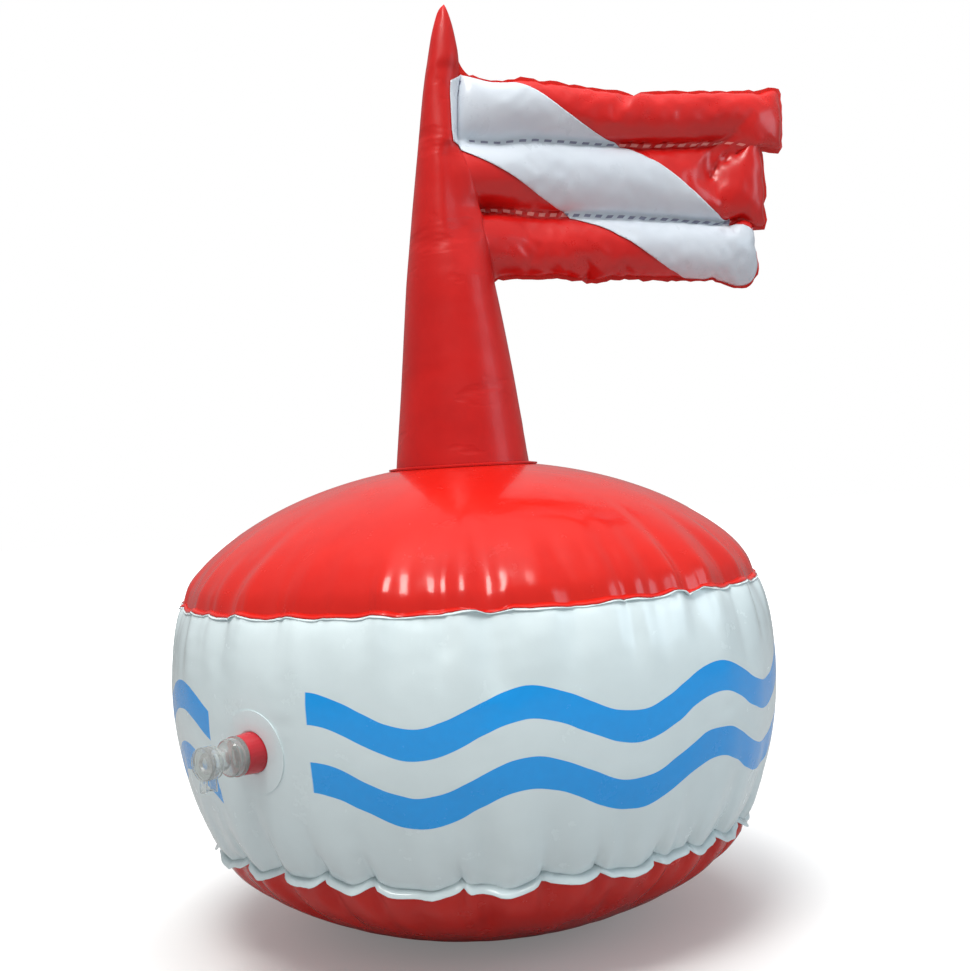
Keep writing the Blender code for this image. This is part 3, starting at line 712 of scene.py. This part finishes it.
class Envelope:
    """The mast and flag before they are blown up, as one two-sheet mesh. Its sheets are -1 (front) and 1."""

    def __init__(self):
        below = list(np.linspace(-0.012, FLAG_LOW, 28))[:-1]
        flag = list(np.linspace(FLAG_LOW, FLAG_HIGH, CHAMBERS * CHAMBER_ROWS + 1))
        above = list(np.linspace(FLAG_HIGH, MAST_TIP, 11))[1:]
        self.levels = below + flag + above
        self.first = len(below)
        self.last = self.first + CHAMBERS * CHAMBER_ROWS
        self.verts, self.flat, self.index = [], [], {}
        self.faces, self.parts = [], []
        self.build()

    def mast_key(self, side, i, j):
        """A point's name, by its row and column. A name without a side is shared by the two sheets."""
        if i == len(self.levels) - 1:
            return TIP
        at_flag = self.first < i < self.first + 2 * CHAMBER_ROWS
        is_edge = j == 0 or (j == MAST_COLUMNS and not at_flag)
        return ("mast", i, j) if is_edge else ("mast", i, j, side)

    def flag_key(self, side, i, k):
        if k == 0:
            return self.mast_key(side, i, MAST_COLUMNS)
        share = k / FLAG_COLUMNS
        is_edge = i in (self.first, self.last) or k == FLAG_COLUMNS
        number, rest = divmod(i - self.first, CHAMBER_ROWS)
        if rest < WELD_ROWS and number in WELDS and WELDS[number][0] <= share <= WELDS[number][1]:
            is_edge = True
        if i == self.first + 1 and k == PINCH_COLUMN or (i - self.first, k) in FOLD:
            is_edge = True
        return ("flag", i, k) if is_edge else ("flag", i, k, side)

    def neck(self, i):
        """Half the thickness where a chamber opens into the mast, which the two lower ones do."""
        if not self.first < i < self.first + 2 * CHAMBER_ROWS:
            return 0.0
        return 0.0125 * math.sin(math.pi * ((i - self.first) % CHAMBER_ROWS) / CHAMBER_ROWS) ** 0.6

    def mast_point(self, side, i, j):
        z = self.levels[i]
        turn = -math.pi / 2 + math.pi * j / MAST_COLUMNS
        low, high = mast_edges(z)
        radius = (high - low) / 2
        depth = radius * math.cos(turn) if 0 < j < MAST_COLUMNS else 0.0
        if j > MAST_COLUMNS / 2:
            depth = max(depth, self.neck(i))
        return np.array([radius * math.sin(turn) + (low + high) / 2, side * depth, z])

    def flag_point(self, side, i, k):
        along = k / FLAG_COLUMNS
        up = (i - self.first) / (self.last - self.first)
        hoist = self.mast_point(side, i, MAST_COLUMNS)
        fly_x = float(np.interp(up, *FLY_EDGE))
        fly_up = float(np.interp(up, np.linspace(0.0, 1.0, CHAMBERS + 1), FLY_WELDS))
        fly_z = FLY_Z[0] + (FLY_Z[1] - FLY_Z[0]) * fly_up
        arch = LOWER_ARCH * math.sin(math.pi * min(1.0, along / ARCH_END)) * max(0.0, 1 - up * CHAMBERS)
        chamber = (i - self.first) % CHAMBER_ROWS / CHAMBER_ROWS
        thin = 0.002 + 0.004 * math.sin(math.pi * chamber)
        y = side * (thin + max(0.0, self.neck(i) - thin) * math.exp(-((along / 0.13) ** 2)))
        x, z = hoist[0] + (fly_x - hoist[0]) * along, hoist[2] + (fly_z - hoist[2]) * along + arch
        from_end = fly_x - x
        for corner_r, from_edge, sign in ((FLY_CORNERS[0], up, 1), (FLY_CORNERS[1], 1 - up, -1)):
            from_edge *= FLAG_HIGH - FLAG_LOW
            if from_end < corner_r and from_edge < corner_r:
                a, b = 1 - from_end / corner_r, 1 - from_edge / corner_r
                x -= corner_r * (a - a * math.sqrt(1 - b * b / 2))
                z += sign * corner_r * (b - b * math.sqrt(1 - a * a / 2))
        return np.array([x, y, z])

    def add(self, key, point, flat):
        if key not in self.index:
            if len(key) == 3:  # a point that the two sheets share
                point = point * [1, 0, 1]
            self.index[key] = len(self.verts)
            self.verts.append(point)
            self.flat.append(flat)

    def quad(self, key_of, side, i, column, part):
        places = ((i, column), (i, column + 1), (i + 1, column + 1), (i + 1, column))
        around = list(dict.fromkeys(self.index[key_of(side, *place)] for place in places))
        if len(around) > 2:
            self.faces.append(around if side < 0 else around[::-1])
            self.parts.append(part)

    def build(self):
        rows = len(self.levels)
        for side in (-1, 1):
            for i in range(rows):
                for j in range(MAST_COLUMNS + 1):
                    key = self.mast_key(side, i, j)
                    point = self.mast_point(side, i, j)
                    if key == TIP:
                        point = np.array([sum(mast_edges(MAST_TIP)) / 2, 0.0, MAST_TIP])
                    up = (self.levels[i] - FLAG_LOW) / (FLAG_HIGH - FLAG_LOW)
                    self.add(key, point, (0.1 * j / MAST_COLUMNS - 0.1, up))
            for i in range(self.first, self.last + 1):
                for k in range(1, FLAG_COLUMNS + 1):
                    flat = (k / FLAG_COLUMNS, (i - self.first) / (self.last - self.first))
                    self.add(self.flag_key(side, i, k), self.flag_point(side, i, k), flat)
            for i in range(rows - 1):
                for j in range(MAST_COLUMNS):
                    self.quad(self.mast_key, side, i, j, 0)
            for i in range(self.first, self.last):
                for k in range(FLAG_COLUMNS):
                    self.quad(self.flag_key, side, i, k, FLAG_PART[side])

    def pins(self):
        """The mast's foot and its plain side, which the flag would otherwise bend."""
        columns = range(MAST_COLUMNS + 1)
        foot = [self.mast_key(sheet, i, j) for sheet in (-1, 1) for i in (0, 1) for j in columns]
        side = [self.mast_key(1, i, 0) for i in range(len(self.levels))]
        return sorted({self.index[key] for key in foot + side})


def sim_envelope(shape):
    verts = np.array(shape.verts)
    rng = np.random.default_rng(3)
    is_flag = verts[:, 0] > 0.035
    verts[:, 1] += rng.normal(0.0, 0.0006, len(verts)) * np.where(is_flag, 1.0, 0.15)
    points = inflate(
        verts, shape.faces, shape.pins(), frames=36, pressure=15.0, tension=60.0, shear=20.0, bending=0.3
    )
    # pressure draws the flag in and rounds it, so it is made taller and flatter again, past the hoist
    share = np.clip((points[:, 0] - 0.028) / 0.035, 0.0, 1.0)
    share = share * share * (3 - 2 * share)
    points[:, 1] *= 1 - FLAG_FLATTEN * share
    middle = (FLAG_LOW + FLAG_HIGH) / 2 - FLAG_DROOP * points[:, 0] / FLAG_REACH
    along = np.clip(points[:, 0] / FLAG_REACH, 0.0, 1.0)
    stretch = FLAG_STRETCH * (1 - 0.45 * along**2)
    points[:, 2] += (points[:, 2] - middle) * stretch * share
    points[:, 2] += DOME_TOP
    return soft_necks(points, shape)


def soft_necks(points, shape):
    """Lets the sheets run from the mast into the two lower chambers without a crease: along each row the
    depth is smoothed between the mast's face and the chamber."""
    rows = []
    for side in (-1, 1):
        for i in range(shape.first + 1, shape.first + 2 * CHAMBER_ROWS):
            keys = [shape.mast_key(side, i, j) for j in range(NECK_FROM, MAST_COLUMNS)]
            keys += [shape.flag_key(side, i, k) for k in range(NECK_TO + 1)]
            rows.append([shape.index[key] for key in keys])
    rows = np.array(rows)
    depth = points[rows, 1]
    smooth = depth.copy()
    held = np.abs(depth) < 1e-5
    for _ in range(NECK_ROUNDS):
        smooth[:, 1:-1] = np.where(held[:, 1:-1], 0.0, (smooth[:, :-2] + smooth[:, 2:]) / 2)
    row = np.tile(np.arange(1, 2 * CHAMBER_ROWS), 2)
    column = np.arange(depth.shape[1])
    in_row = np.clip(np.minimum(row / 9, (2 * CHAMBER_ROWS - row) / 3), 0.0, 1.0)
    in_column = np.clip(np.minimum(column, column[::-1]) / 5, 0.0, 1.0)
    share = in_row[:, None] * in_column[None, :]
    points[rows, 1] = depth + (smooth - depth) * share * share * (3 - 2 * share)
    return points


def make_envelope():
    shape = Envelope()
    points = sim_envelope(shape)
    mesh = mesh_from("envelope", points, shape.faces)
    part = mesh.attributes.new("part", "INT", "FACE")
    part.data.foreach_set("value", shape.parts)
    flat = mesh.attributes.new("flat_place", "FLOAT_VECTOR", "POINT")
    flat.data.foreach_set("vector", np.array([(u, v, 0.0) for u, v in shape.flat]).ravel())
    return shape, subdivided(mesh)


def split_envelope(dense):
    """Parts the smoothed envelope into the mast and the flag's two sheets, which share their normals where
    one sheet runs into the other."""
    count = len(dense.vertices)
    points = points_of(dense)
    part = np.empty(len(dense.polygons), dtype=np.int32)
    dense.attributes["part"].data.foreach_get("value", part)
    flat = np.empty(count * 3)
    dense.attributes["flat_place"].data.foreach_get("vector", flat)
    flat = flat.reshape(-1, 3)[:, :2]
    quads = np.array([(*p.vertices, p.vertices[-1])[:4] for p in dense.polygons])
    facing = np.cross(points[quads[:, 2]] - points[quads[:, 0]], points[quads[:, 3]] - points[quads[:, 1]])
    sums = np.zeros((3, count, 3))
    touched = np.zeros((3, count), dtype=bool)
    for corner in range(4):
        np.add.at(sums, (part, quads[:, corner]), facing)
        touched[part, quads[:, corner]] = True
    runs_on = touched[0] & (touched[1] ^ touched[2])
    pieces = {"whole": {"points": points, "quads": quads, "part": part, "flat": flat, "facing": facing}}
    for number, name in enumerate(("mast", "front", "back")):
        normal = sums[number].copy()
        normal[runs_on] = sums[:, runs_on].sum(axis=0)
        used = np.flatnonzero(touched[number])
        new_index = -np.ones(count, dtype=int)
        new_index[used] = np.arange(len(used))
        faces = [tuple(dict.fromkeys(face)) for face in new_index[quads[part == number]].tolist()]
        normal = unit(normal[used])
        pieces[name] = {"points": points[used], "faces": faces, "normal": normal, "flat": flat[used]}
    return pieces


def sheet_mesh(name, piece):
    mesh = mesh_from(name, piece["points"], piece["faces"])
    add_point_uv(mesh, piece["flat"])
    mesh.normals_split_custom_set_from_vertices([tuple(n) for n in piece["normal"]])
    return mesh


STRIPE_TOP = ((0.10, 1.0), (0.89, 0.33))  # ends of the stripe's upper edge in the flag's flat map
STRIPE_LOW = ((-0.01, 0.62), (0.72, 0.0))
LAP_END, HEAD = -0.0360, 0.992  # the overlay's end on the mast and its upper end, in the flat map
# the lines that bound it, with the side of each that is kept: its edges, its two ends and a cut corner
STRIPE_CUTS = (
    (-1, STRIPE_TOP), (1, STRIPE_LOW), (-1, ((LAP_END, 0.0), (LAP_END, 1.0))),
    (-1, ((-1.0, HEAD), (2.0, HEAD))), (-1, ((LAP_END, 0.940), (0.0, HEAD))),
)
STRIPE_LIFT = STRIPE_THICK = 0.0004


def line_side(place, line):
    """How far a place in the flat map lies above a line, times the line's length."""
    (x0, y0), (x1, y1) = line
    return (x1 - x0) * (place[..., 1] - y0) - (y1 - y0) * (place[..., 0] - x0)


def clip(polygon, flat, keep_sign, line):
    """Cuts a list of blended corners by a line of the flat map. Each corner is a dict of index to weight."""
    kept = []
    values = [line_side(sum(w * flat[i] for i, w in c.items()), line) * keep_sign for c in polygon]
    for a, b, va, vb in zip(polygon, polygon[1:] + polygon[:1], values, values[1:] + values[:1]):
        if va >= 0:
            kept.append(a)
        if (va >= 0) != (vb >= 0):
            t = va / (va - vb)
            mixed = {i: w * (1 - t) for i, w in a.items()}
            for i, w in b.items():
                mixed[i] = mixed.get(i, 0.0) + w * t
            kept.append(mixed)
    return kept


def under_stripe(whole, side):
    """The envelope's faces under the stripe on one side, and the normals of that side's sheets."""
    flat, points, quads = whole["flat"], whole["points"], whole["quads"]
    on_mast = (whole["part"] == 0) & (points[quads, 1].mean(axis=1) * side > 0)
    picked = (whole["part"] == FLAG_PART[side]) | on_mast
    normal = np.zeros_like(points)
    for corner in range(4):
        np.add.at(normal, quads[picked, corner], whole["facing"][picked])
    near = np.ones(len(quads), dtype=bool)
    for sign, line in STRIPE_CUTS[:2]:
        near &= (line_side(flat[quads], line) * sign).max(axis=1) > 0
    chosen = [list(dict.fromkeys(face)) for face in quads[picked & near].tolist()]
    return [face for face in chosen if flat[face, 0].max() > LAP_END], unit(normal)


def stripe_piece(name, whole, node, side):
    """The white overlay on one sheet, cut from the smoothed envelope along straight lines of the flat map.
    Its end at the hoist laps over the weld and onto the mast."""
    flat, points = whole["flat"], whole["points"]
    chosen, normal = under_stripe(whole, side)
    verts, faces, maps, index = [], [], [], {}

    def corner(blend):
        key = tuple(sorted((i, round(w, 5)) for i, w in blend.items() if w > 1e-6))
        if key not in index:
            index[key] = len(verts)
            n = sum(w * normal[i] for i, w in key)
            n /= max(np.linalg.norm(n), 1e-9)
            verts.append(sum(w * points[i] for i, w in key) + n * STRIPE_LIFT)
            maps.append(sum(w * flat[i] for i, w in key))
        return index[key]

    for face in chosen:
        polygon = [{i: 1.0} for i in face]
        for sign, line in STRIPE_CUTS:
            polygon = clip(polygon, flat, sign, line)
        if len(polygon) > 2:
            around = list(dict.fromkeys(corner(blend) for blend in polygon))
            if len(around) > 2:
                faces.append(tuple(around))
    mesh = mesh_from(name, verts, faces)
    add_point_uv(mesh, maps)
    obj = add_object(name, mesh, STRIPE_WHITE, "white_pvc")
    thickness = obj.modifiers.new("thickness", "SOLIDIFY")
    thickness.thickness = STRIPE_THICK
    thickness.offset = 1.0
    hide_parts(node)


DASH_RISE, DASH_HALF = 0.014, 0.0065  # place over each weld's lower edge and half width, in the flat map


def dashed(name, base, darker, dash_tint_and_glint):
    """Sheet with the dashed marks of the welding bar along the flag's two seams and beside its mast, embossed
    and tinted. On the red flag the pale tint is a painted glint.
    """
    shader = pvc(name, base, darker, (0.26, 0.42), 0.14, 0.00012)
    along, up = shader.uv()
    first, second = (
        shader.math("LESS_THAN", shader.away(up, number / CHAMBERS + DASH_RISE), DASH_HALF)
        for number in (1, 2)
    )
    after, before = shader.math("GREATER_THAN", along, 0.04), shader.math("LESS_THAN", along, 0.88)
    lines = shader.product(shader.math("MAXIMUM", first, second), shader.dashes(along, 27.0), after, before)
    beside = shader.math("LESS_THAN", shader.away(along, 0.004), 0.0035)
    above, below = shader.math("GREATER_THAN", up, 0.70), shader.math("LESS_THAN", up, 0.96)
    marks = shader.math("MAXIMUM", lines, shader.product(beside, shader.dashes(up, 17.0), above, below))
    # the dashes' tint: darker on the white stripe, and a painted glint on the red flag
    shade = shader.mix(marks, shader.shade, dash_tint_and_glint)
    shader.give(Base_Color=shade, Normal=shader.bump(marks, 0.0004, 0.6, shader.fine))
    return shader.material


STRIPE_WHITE = dashed("striped_white_pvc", (0.64, 0.69, 0.75), (0.59, 0.64, 0.71), (0.22, 0.22, 0.32))
# its pale dashes are painted glints on the weld marks
FLAG_RED = dashed("flag_red_pvc", (0.64, 0.007, 0.005), (0.56, 0.005, 0.004), (0.85, 0.25, 0.22))


def make_flag_edge(shape, dense):
    """The flat welded border round the flag, trimmed by hand, so its edge is a little uneven."""
    points = points_of(dense)
    keys = [shape.flag_key(-1, shape.last, k) for k in range(FLAG_COLUMNS + 1)]
    keys += [shape.flag_key(-1, i, FLAG_COLUMNS) for i in range(shape.last - 1, shape.first - 1, -1)]
    keys += [shape.flag_key(-1, shape.first, k) for k in range(FLAG_COLUMNS - 1, -1, -1)]
    line = np.array([points[shape.index[key]] for key in keys])
    count = len(line)
    out = unit(np.cross(unit(np.gradient(line, axis=0)), [0.0, -1.0, 0.0]))
    if out[5][2] < 0:
        out = -out
    rng = np.random.default_rng(11)
    wide = 0.0022 + np.clip(rng.normal(0.0, 0.00035, count), -0.0006, 0.0009)
    wide[:2] = wide[-2:] = 0.0008
    side = np.array([0.0, 0.0005, 0.0])
    inner, outer = line - out * 0.0010, line + out * wide[:, None]
    sections = [inner - side, outer - side * 0.7, outer + side * 0.7, inner + side]
    verts = list(np.stack(sections, axis=1).reshape(-1, 3))
    faces = grid_faces(count, len(sections), column_loop=True)
    faces += [(0, 1, 2, 3), tuple((count - 1) * 4 + j for j in (3, 2, 1, 0))]
    mast_edge = [points[shape.index[shape.mast_key(-1, shape.last + i, MAST_COLUMNS)]] for i in range(3)]
    add_corner_web(verts, faces, mast_edge, line)
    mesh = mesh_from("flag_edge_weld", verts, faces)
    mesh.set_sharp_from_angle(angle=math.radians(40))
    add_object("flag_edge_weld", mesh, RED, "red_pvc")


def add_corner_web(verts, faces, mast_edge, flag_edge):
    """The flat web that rounds the corner between the mast and the flag's upper edge."""
    corner = flag_edge[0]
    up = (mast_edge[-1] - corner) * WEB_REACH / np.linalg.norm(mast_edge[-1] - corner)
    along = (flag_edge[3] - corner) * WEB_REACH / np.linalg.norm(flag_edge[3] - corner)
    inner = corner - (up + along) * 0.2
    outline = [inner]
    for t in np.linspace(0.0, 1.0, 11):
        outline.append(corner + up * (1 - t) ** 2 + along * t**2 + (up + along) * 0.25 * t * (1 - t))
    first, count = len(verts), len(outline)
    verts += [point + [0.0, y, 0.0] for y in (-0.0006, 0.0006) for point in outline]
    for k in range(1, count - 1):
        faces.append((first, first + k, first + k + 1))
        faces.append((first + count, first + count + k + 1, first + count + k))
    for k in range(count):
        n = (k + 1) % count
        faces.append((first + k, first + count + k, first + count + n, first + n))


def make_mast_and_flag():
    shape, dense = make_envelope()
    pieces = split_envelope(dense)
    mast = add_object("mast_sheet", sheet_mesh("mast_sheet", pieces["mast"]), MAST_RED, "red_pvc")
    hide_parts("mast")
    for name, node, side in (("front", "flag_front_sheet", -1), ("back", "flag_back_sheet", 1)):
        mesh = sheet_mesh(f"flag_{name}_chambers", pieces[name])
        obj = add_object(f"flag_{name}_chambers", mesh, FLAG_RED, "red_pvc")
        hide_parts(node)
        stripe_piece(f"flag_stripe_{name}_overlay", pieces["whole"], f"flag_stripe_{name}", side)
    make_flag_edge(shape, dense)


# ---- CAD pieces that stay
def dress_cad():
    for node, material in {
        "mast_collar": MAST_RED,
        "valve_patch": WHITE,
        "valve_skirt": VALVE_RED,
        "valve_stem": CLEAR,
        "valve_strap": CLEAR,
        "valve_plug": CLEAR,
        "mooring_patch": RED,
        "mooring_tab": RED,
        "mooring_ring": DARK,
    }.items():
        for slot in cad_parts[node].material_slots:
            slot.material = material


# ---- studio
def make_stage():
    """A plain white floor that glows as painted light, faintly round the object's foot and fully further out,
    and sends less light back up to the object than it shows.
    """
    shader = Shader("stage_paint")
    grey = shader.mix(shader.noise(3.0), (0.72, 0.72, 0.72), (0.70, 0.70, 0.70))
    away = shader.add("ShaderNodeVectorMath", operation="LENGTH")
    shader.link(shader.where, away.inputs[0])
    # painted light: the floor's glow is faint within 0.2 m of the object, so its shadow stays dark, and full
    # from 1.3 m out
    painted_floor_glow = shader.ramp(away.outputs["Value"], 0.20, 1.3, 0.17, 1.0)
    shader.give(Base_Color=grey, Emission_Strength=painted_floor_glow)
    set_inputs(shader.main, Roughness=0.9, Specular_IOR_Level=0.1, Emission_Color=(1.0, 1.0, 1.0, 1.0))
    dim = shader.add("ShaderNodeBsdfDiffuse")
    set_inputs(dim, Color=(0.42, 0.42, 0.42, 1.0))
    mixed = shader.for_camera(shader.main, dim)
    shader.link(mixed, shader.tree.nodes["Material Output"].inputs["Surface"])
    mesh = mesh_from("floor", [(-9, -9, 0), (9, -9, 0), (9, 9, 0), (-9, 9, 0)], [(0, 1, 2, 3)])
    floor = new_object("floor", mesh)
    floor.location.z = cad_box[0][2] - 0.0002
    mesh.materials.append(shader.material)


def make_light(name, place, energy, wide, high, colour=(1, 1, 1)):
    """A rectangular light that points at the object's middle."""
    data = bpy.data.lights.new(name, "AREA")
    data.energy, data.color = energy, colour
    data.shape, data.size, data.size_y = "RECTANGLE", wide, high
    obj = new_object(name, data)
    obj.location = place
    obj.rotation_euler = (Vector((0.0, 0.0, 0.25)) - Vector(place)).to_track_quat("-Z", "Y").to_euler()
    return obj


def make_world():
    """White behind the object, and a softer light with a dimmer horizon on it."""
    world = bpy.data.worlds.new("studio")
    world.use_nodes = True
    nodes = Nodes(world.node_tree, "Generated")
    seen = nodes.tree.nodes["Background"]
    set_inputs(seen, Color=(1.0, 1.0, 1.0, 1.0), Strength=1.0)
    light = nodes.add("ShaderNodeBackground")
    nodes.link(nodes.ramp(nodes.parts(nodes.where)["Z"], -0.1, 0.9, 0.30, 0.74), light.inputs["Strength"])
    nodes.link(nodes.for_camera(seen, light), nodes.tree.nodes["World Output"].inputs["Surface"])
    bpy.context.scene.world = world


def make_lights():
    make_light("key_light", (-0.62, -1.02, 2.30), 32.0, 0.85, 0.80, (1.0, 0.99, 0.95))
    make_light("fill_light", (1.8, -1.2, 0.9), 7.0, 0.9, 0.9, (0.70, 0.88, 1.0))
    top = make_light("top_light", (0.0, -0.1, 2.1), 29.0, 1.3, 1.3)
    top.visible_glossy = False
    make_world()
    bpy.context.scene.view_settings.view_transform = "Standard"


make_body()
make_mast_and_flag()
dress_cad()
make_stage()
make_lights()
